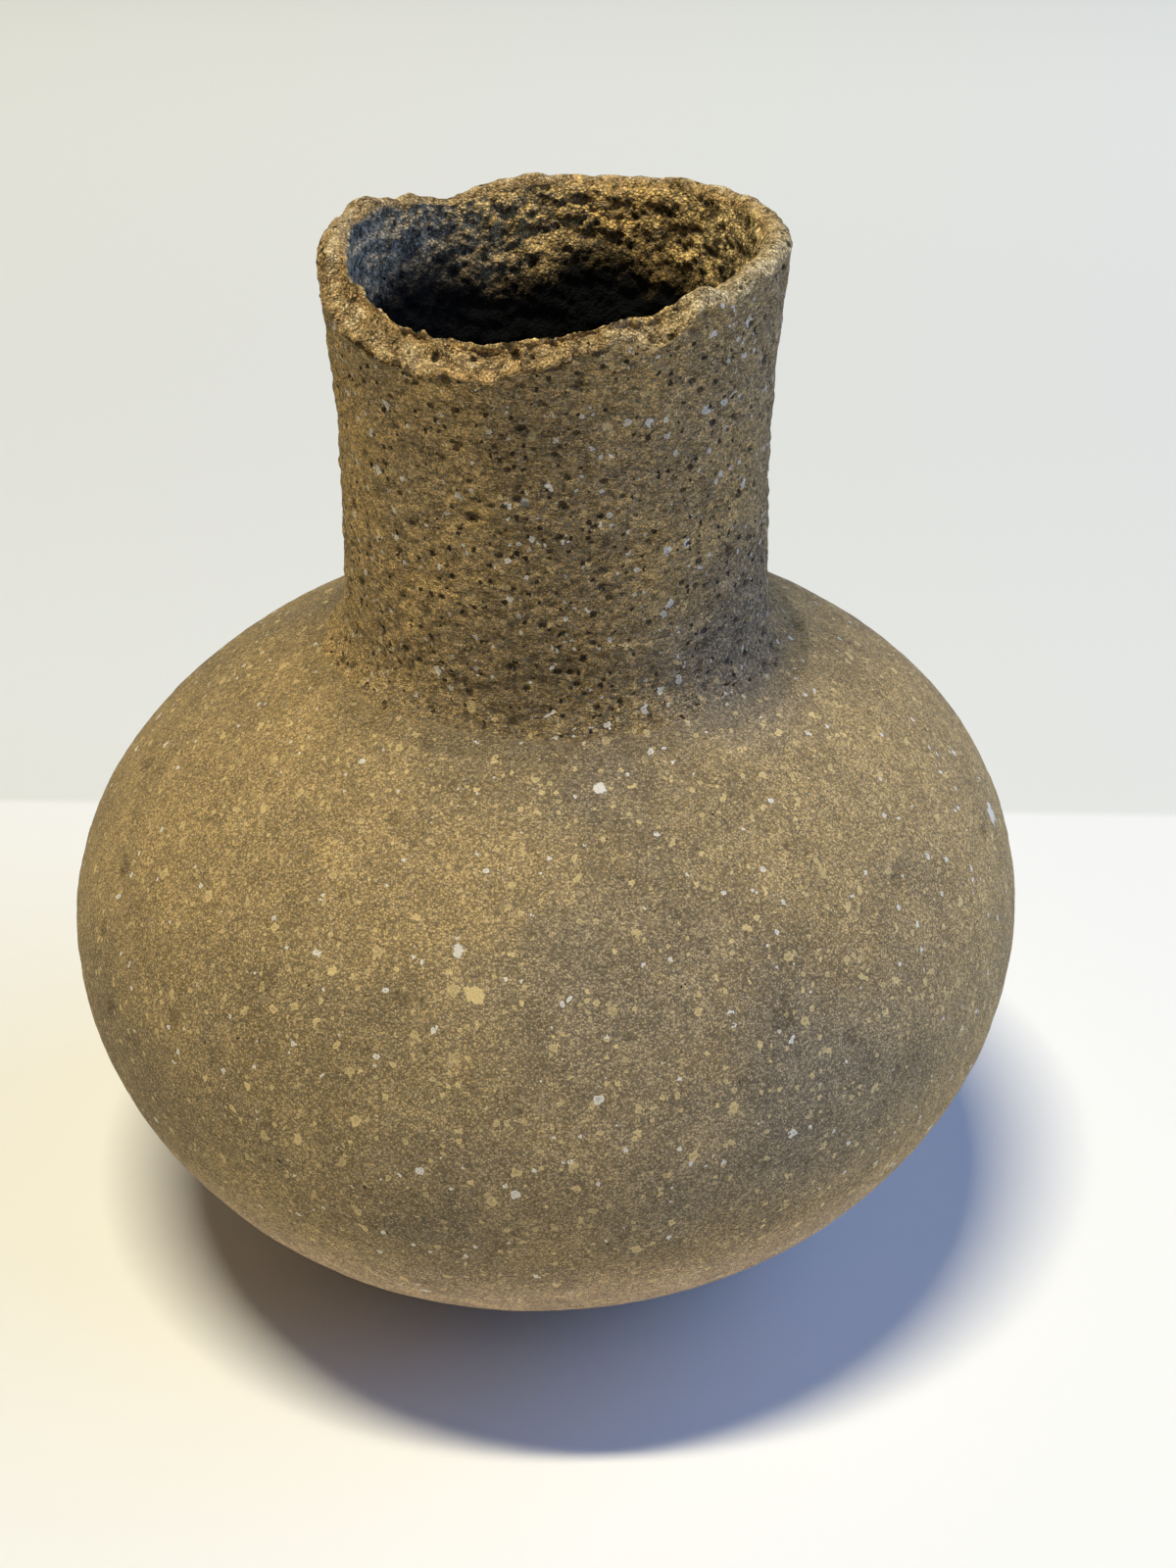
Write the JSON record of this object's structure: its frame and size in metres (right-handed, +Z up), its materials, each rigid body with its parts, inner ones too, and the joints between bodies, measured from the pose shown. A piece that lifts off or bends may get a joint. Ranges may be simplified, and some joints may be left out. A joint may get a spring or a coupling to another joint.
{
  "type": "pottery water bottle",
  "caption": "Coil-built earthenware water bottle: a squat round body, a tall open neck and a worn, chipped lip.",
  "frame": {"origin": "centre of the flat resting face under the base", "axes": "+Z up, along the neck; -Y faces the viewer of the picture, with the deepest break in the lip at the front left"},
  "size_m": [0.17, 0.17, 0.1868],
  "materials": {
    "body_clay": "scraped, unglazed earthenware, olive brown with grey fire clouds and pale flecks",
    "neck_clay": "rough, pitted, unglazed earthenware, dark greyish brown",
    "rim_clay": "worn and broken earthenware edge, tan"
  },
  "bodies": {
    "root": {"base_bowl": "body_clay", "body_coil_1": "body_clay", "body_coil_2": "body_clay", "body_coil_3": "body_clay", "body_coil_4": "body_clay", "body_coil_5": "body_clay", "body_coil_6": "body_clay", "body_coil_7": "body_clay", "neck_coil_1": "neck_clay", "neck_coil_2": "neck_clay", "neck_coil_3": "neck_clay", "rim_coil": "rim_clay"}
  },
  "joints": []
}
